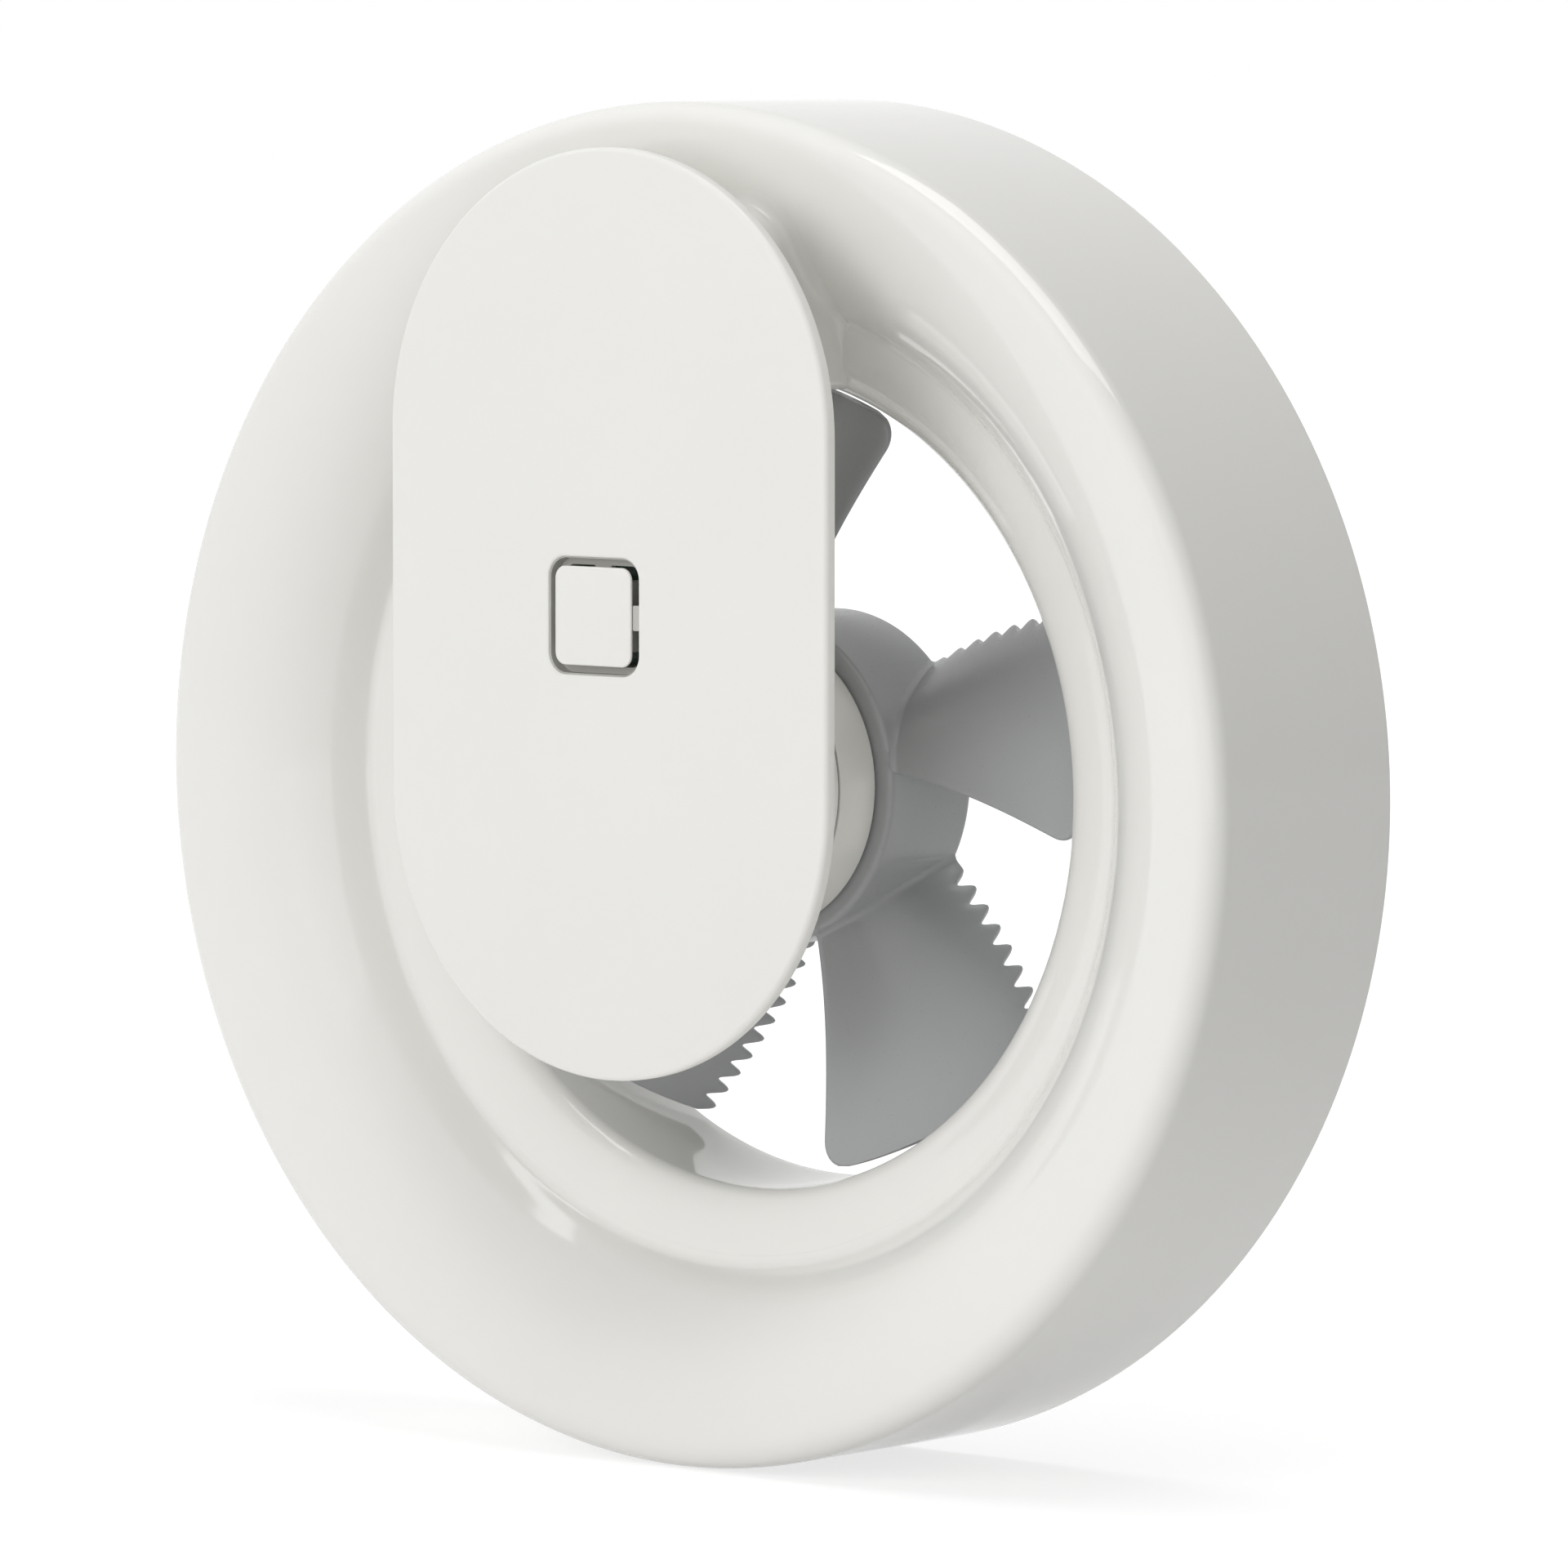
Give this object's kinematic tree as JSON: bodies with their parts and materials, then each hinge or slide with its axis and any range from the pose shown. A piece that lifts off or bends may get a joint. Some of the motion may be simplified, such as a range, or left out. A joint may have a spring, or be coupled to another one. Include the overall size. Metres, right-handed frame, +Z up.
{
  "type": "exhaust fan",
  "caption": "Round axial exhaust fan with a bellmouth drum, a pill-shaped front plate with a push button, and a toothed impeller.",
  "frame": {"origin": "on the fan's axis in the plane of the flat back, where it meets the wall", "axes": "+Y from the front into the wall, +Z up towards the neck, +X to the right seen from the front"},
  "size_m": [0.22, 0.0643, 0.22],
  "materials": {
    "gloss_white": "gloss",
    "satin_white": "satin",
    "cup_white": "satin",
    "fan_grey": "satin",
    "frame_grey": "matt",
    "foam": "closed-cell foam",
    "rubber": "matt",
    "board": "solder resist",
    "black_plastic": "matt",
    "terminal": "satin",
    "steel": "bright",
    "laminations": "dull",
    "copper": "enamelled copper wire",
    "magnet": "sintered ferrite"
  },
  "bodies": {
    "housing": {"front_ring": "gloss_white", "bellmouth": "gloss_white", "back_plate": "gloss_white", "rear_seal": "foam", "cable_grommet": "rubber", "terminal_block": "terminal", "cable_clamp": "satin_white", "front_plate": "satin_white", "button_guide": "frame_grey", "motor_carrier": "cup_white", "damper_ring": "rubber", "motor_base": "cup_white", "motor_board": "board", "front_bearing": "steel", "rear_bearing": "steel", "stator_core": "laminations", "coil_1": "copper", "coil_2": "copper", "coil_3": "copper", "coil_4": "copper", "control_board": "board", "tact_switch": "black_plastic", "power_module": "black_plastic", "motor_plug": "terminal", "filter_capacitor": "black_plastic"},
    "rotor": {"impeller": "fan_grey", "rotor_yoke": "steel", "rotor_magnet": "magnet", "motor_shaft": "steel", "shaft_clip": "steel"},
    "button": {"button_cap": "satin_white"}
  },
  "joints": [
    {"name": "impeller_spin", "type": "hinge", "parent": "housing", "child": "rotor", "pos_m": [0, -0.012, 0], "axis": [0, 1, 0], "continuous": true},
    {"name": "button_press", "type": "slide", "parent": "housing", "child": "button", "axis": [0, 1, 0], "range_m": [0, 0.001], "stiffness_N_per_m": 150}
  ]
}
